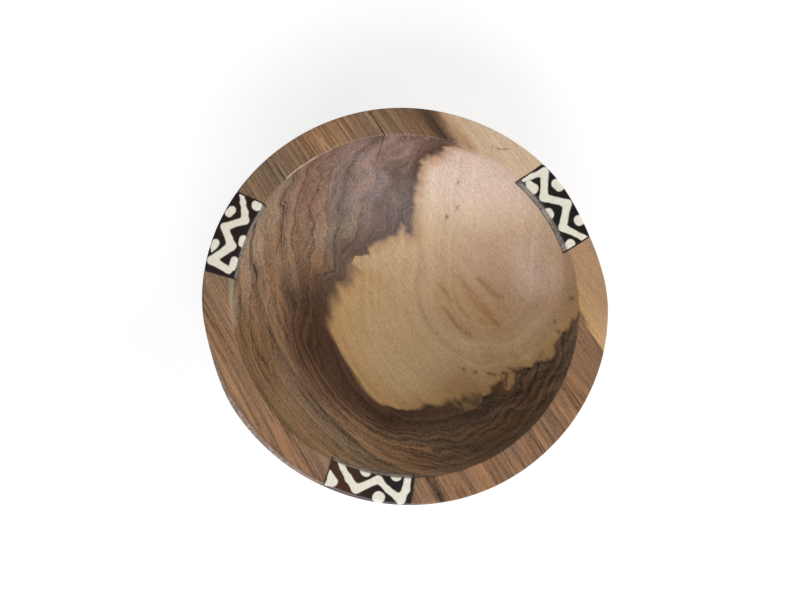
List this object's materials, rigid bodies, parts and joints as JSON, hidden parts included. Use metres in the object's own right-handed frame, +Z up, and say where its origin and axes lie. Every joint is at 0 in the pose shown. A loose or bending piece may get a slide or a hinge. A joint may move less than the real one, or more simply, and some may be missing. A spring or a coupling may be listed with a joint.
{
  "type": "carved bowl",
  "caption": "Hand-carved oval bowl of two-tone wood, with batik-dyed bone tiles glued flush into notches across its flat rim; stands on a flat foot and holds small dry things.",
  "frame": {"origin": "centre of the flat foot, on the surface that the bowl stands on", "axes": "+Z up out of the bowl, +X to the right and +Y to the top of the reference view, which looks down into the bowl"},
  "size_m": [0.154, 0.1498, 0.05],
  "materials": {
    "wood": "sanded and oiled, satin, two-tone heartwood and sapwood",
    "bone": "polished bone with a black batik dye",
    "glue": "cured dark glue, sanded flush"
  },
  "bodies": {
    "root": {"bowl_body": "wood", "bone_inlay_left": "bone", "bone_inlay_right": "bone", "bone_inlay_front": "bone", "glue_bed_left": "glue", "glue_bed_right": "glue", "glue_bed_front": "glue"}
  },
  "joints": []
}
